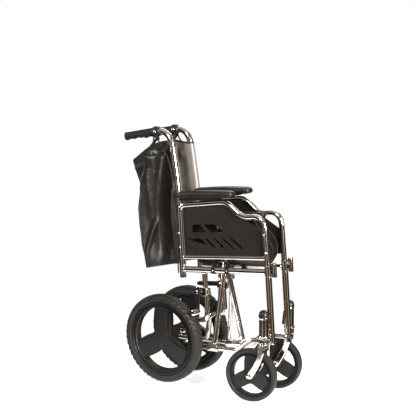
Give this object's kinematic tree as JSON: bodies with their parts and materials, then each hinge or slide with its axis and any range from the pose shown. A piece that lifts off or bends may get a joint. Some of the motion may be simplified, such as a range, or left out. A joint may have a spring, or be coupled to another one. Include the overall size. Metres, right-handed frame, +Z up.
{
  "type": "folding transport wheelchair",
  "caption": "Folding transport wheelchair, shown folded: chrome tube side frames, scissor brace, small mag wheels, padded arms, vinyl slings and push handles with brakes.",
  "frame": {"origin": "on the floor, under the middle of the folded chair's bounding box", "axes": "+X is the way the sitter faces, +Y is the sitter's left, +Z is up"},
  "size_m": [0.6511, 0.2317, 0.923],
  "materials": {
    "chrome_tube": "polished chrome plate",
    "black_plastic": "moulded satin",
    "cable_sheath": "smooth sheath",
    "panel_plastic": "fine grained moulded sheet",
    "pad_vinyl": "soft satin vinyl",
    "grip_rubber": "matt moulded rubber",
    "tyre_rubber": "matt solid rubber",
    "wheel_plastic": "moulded grey-black nylon",
    "sling_vinyl": "satin coated fabric"
  },
  "bodies": {
    "right_frame": {"right_back_cane": "chrome_tube", "right_arm_tube": "chrome_tube", "right_upper_rail": "chrome_tube", "right_lower_rail": "chrome_tube", "right_front_post": "chrome_tube", "right_base_rail": "chrome_tube", "right_rear_leg": "chrome_tube", "right_skirt_panel": "panel_plastic", "right_arm_pad": "pad_vinyl", "right_footrest_socket": "chrome_tube", "right_hand_grip": "grip_rubber", "right_brake_clamp": "black_plastic", "right_brake_cable": "cable_sheath", "right_park_bracket": "chrome_tube", "right_rear_axle": "chrome_tube", "right_caster_barrel": "chrome_tube", "right_caster_cap": "black_plastic"},
    "left_frame": {"left_back_cane": "chrome_tube", "left_arm_tube": "chrome_tube", "left_upper_rail": "chrome_tube", "left_lower_rail": "chrome_tube", "left_front_post": "chrome_tube", "left_base_rail": "chrome_tube", "left_rear_leg": "chrome_tube", "left_skirt_panel": "panel_plastic", "left_arm_pad": "pad_vinyl", "left_footrest_socket": "chrome_tube", "left_hand_grip": "grip_rubber", "left_brake_clamp": "black_plastic", "left_brake_cable": "cable_sheath", "left_park_bracket": "chrome_tube", "left_rear_axle": "chrome_tube", "left_caster_barrel": "chrome_tube", "left_caster_cap": "black_plastic"},
    "brace_a": {"cross_brace_a": "chrome_tube", "cross_bolt": "chrome_tube"},
    "brace_b": {"cross_brace_b": "chrome_tube"},
    "right_seat": {"right_seat_front": "sling_vinyl", "right_seat_rear": "sling_vinyl"},
    "right_back": {"right_back_sling": "sling_vinyl"},
    "right_hand_lever": {"right_hand_lever": "black_plastic"},
    "right_park_lever": {"right_park_lever": "black_plastic"},
    "right_rear_wheel": {"right_rear_tyre": "tyre_rubber", "right_rear_rim": "wheel_plastic"},
    "right_caster": {"right_caster_fork": "chrome_tube", "right_caster_axle": "chrome_tube"},
    "right_caster_wheel": {"right_caster_tyre": "tyre_rubber", "right_caster_rim": "wheel_plastic"},
    "left_seat": {"left_seat_front": "sling_vinyl", "left_seat_rear": "sling_vinyl"},
    "left_back": {"left_back_sling": "sling_vinyl"},
    "left_hand_lever": {"left_hand_lever": "black_plastic"},
    "left_park_lever": {"left_park_lever": "black_plastic"},
    "left_rear_wheel": {"left_rear_tyre": "tyre_rubber", "left_rear_rim": "wheel_plastic"},
    "left_caster": {"left_caster_fork": "chrome_tube", "left_caster_axle": "chrome_tube"},
    "left_caster_wheel": {"left_caster_tyre": "tyre_rubber", "left_caster_rim": "wheel_plastic"}
  },
  "joints": [
    {"name": "fold", "type": "hinge", "parent": "right_frame", "child": "brace_a", "pos_m": [0.04526, -0.0366, 0.14558], "axis": [-0.9987, 0, -0.0504], "range_deg": [0, 42.6]},
    {"name": "brace_cross", "type": "hinge", "parent": "brace_a", "child": "brace_b", "pos_m": [0.05948, 0.0054, 0.39932], "axis": [-0.9987, 0, -0.0504], "range_deg": [-85.2, 0]},
    {"name": "left_frame_pivot", "type": "hinge", "parent": "brace_b", "child": "left_frame", "pos_m": [0.08321, 0.0474, 0.1475], "axis": [-0.9987, 0, -0.0504], "range_deg": [0, 42.6]},
    {"name": "right_seat_hinge", "type": "hinge", "parent": "brace_b", "child": "right_seat", "pos_m": [0.06949, -0.0307, 0.61741], "axis": [-0.9987, 0, -0.0504], "range_deg": [-16.62, 0]},
    {"name": "right_back_hinge", "type": "hinge", "parent": "right_frame", "child": "right_back", "pos_m": [-0.0765, -0.0496, 0.395], "axis": [0.0861, 0, -0.9963], "range_deg": [0, 54.96]},
    {"name": "right_hand_brake", "type": "hinge", "parent": "right_frame", "child": "right_hand_lever", "pos_m": [-0.1895, -0.0496, 0.88], "axis": [0, 1, 0], "range_deg": [0, 25], "stiffness_Nm_per_rad": 0.6, "springref_deg": -8.59},
    {"name": "right_park_brake", "type": "hinge", "parent": "right_frame", "child": "right_park_lever", "pos_m": [-0.0005, -0.0496, 0.349], "axis": [0, 1, 0], "range_deg": [0, 8.5]},
    {"name": "right_rear_spin", "type": "hinge", "parent": "right_frame", "child": "right_rear_wheel", "pos_m": [-0.1465, -0.0761, 0.161], "axis": [0, 1, 0], "continuous": true},
    {"name": "right_caster_swivel", "type": "hinge", "parent": "right_frame", "child": "right_caster", "pos_m": [0.2785, -0.0796, 0.2], "axis": [0, 0, 1], "continuous": true},
    {"name": "right_caster_spin", "type": "hinge", "parent": "right_caster", "child": "right_caster_wheel", "pos_m": [0.23295, -0.086, 0.093], "axis": [-0.1392, 0.9903, 0], "continuous": true},
    {"name": "left_seat_hinge", "type": "hinge", "parent": "brace_a", "child": "left_seat", "pos_m": [0.06949, 0.0415, 0.61741], "axis": [-0.9987, 0, -0.0504], "range_deg": [0, 16.62]},
    {"name": "left_back_hinge", "type": "hinge", "parent": "left_frame", "child": "left_back", "pos_m": [-0.0765, 0.0604, 0.395], "axis": [-0.0861, 0, 0.9963], "range_deg": [0, 54.96]},
    {"name": "left_hand_brake", "type": "hinge", "parent": "left_frame", "child": "left_hand_lever", "pos_m": [-0.1895, 0.0604, 0.88], "axis": [0, 1, 0], "range_deg": [0, 25], "stiffness_Nm_per_rad": 0.6, "springref_deg": -8.59},
    {"name": "left_park_brake", "type": "hinge", "parent": "left_frame", "child": "left_park_lever", "pos_m": [-0.0005, 0.0604, 0.349], "axis": [0, 1, 0], "range_deg": [0, 8.5]},
    {"name": "left_rear_spin", "type": "hinge", "parent": "left_frame", "child": "left_rear_wheel", "pos_m": [-0.1465, 0.0869, 0.161], "axis": [0, 1, 0], "continuous": true},
    {"name": "left_caster_swivel", "type": "hinge", "parent": "left_frame", "child": "left_caster", "pos_m": [0.2785, 0.0904, 0.2], "axis": [0, 0, 1], "continuous": true},
    {"name": "left_caster_spin", "type": "hinge", "parent": "left_caster", "child": "left_caster_wheel", "pos_m": [0.23387, 0.07927, 0.093], "axis": [-0.2419, 0.9703, 0], "continuous": true}
  ],
  "couplings": [
    {"joint": "brace_cross", "follows": "fold", "ratio": -2},
    {"joint": "left_frame_pivot", "follows": "fold", "ratio": 1},
    {"joint": "right_seat_hinge", "follows": "fold", "ratio": -0.39},
    {"joint": "right_back_hinge", "follows": "fold", "ratio": 1.29},
    {"joint": "left_seat_hinge", "follows": "fold", "ratio": 0.39},
    {"joint": "left_back_hinge", "follows": "fold", "ratio": 1.29}
  ]
}
